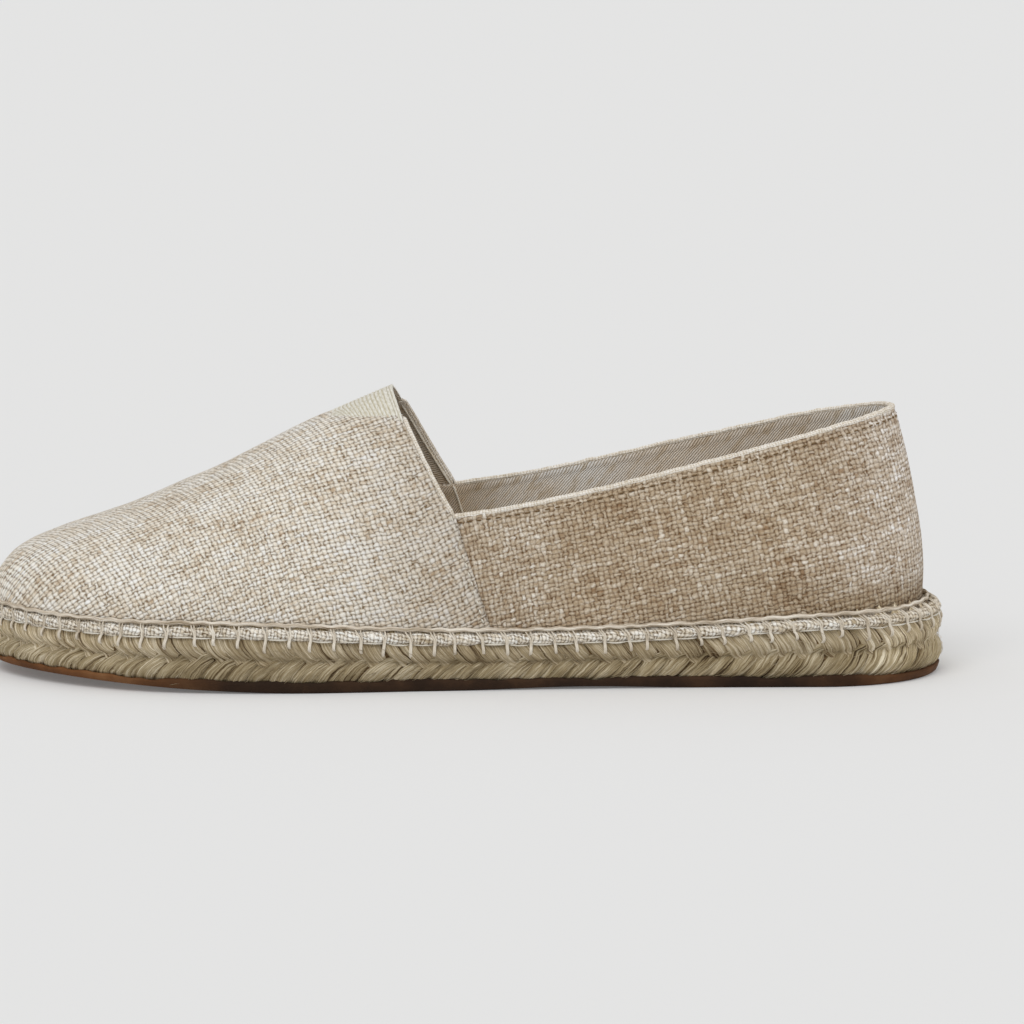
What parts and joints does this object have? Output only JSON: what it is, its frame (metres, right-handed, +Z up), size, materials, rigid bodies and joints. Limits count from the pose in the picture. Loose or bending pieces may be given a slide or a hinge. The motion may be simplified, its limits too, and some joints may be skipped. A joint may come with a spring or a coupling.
{
  "type": "espadrille",
  "caption": "Flat slip-on espadrille: linen upper with an elastic gore in the throat, blanket-stitched to a plaited jute sole on thin rubber.",
  "frame": {"origin": "on the floor under the middle of the shoe's overall box", "axes": "+X towards the toe, +Y to the outer side of the left foot, +Z up"},
  "size_m": [0.28, 0.0974, 0.0846],
  "materials": {
    "sole_rubber": "matt moulded brown rubber",
    "jute": "dry plaited jute fibre, undyed",
    "sock_cloth": "plain cotton sock cloth",
    "linen": "coarse flecked linen, undyed, matt",
    "lining": "fine cotton twill lining",
    "elastic": "ribbed ivory elastic webbing",
    "thread": "waxed cotton sewing cord"
  },
  "bodies": {
    "root": {"outsole": "sole_rubber", "jute_sole": "jute", "insole": "sock_cloth", "upper": "linen", "elastic_gore": "elastic"}
  },
  "joints": []
}
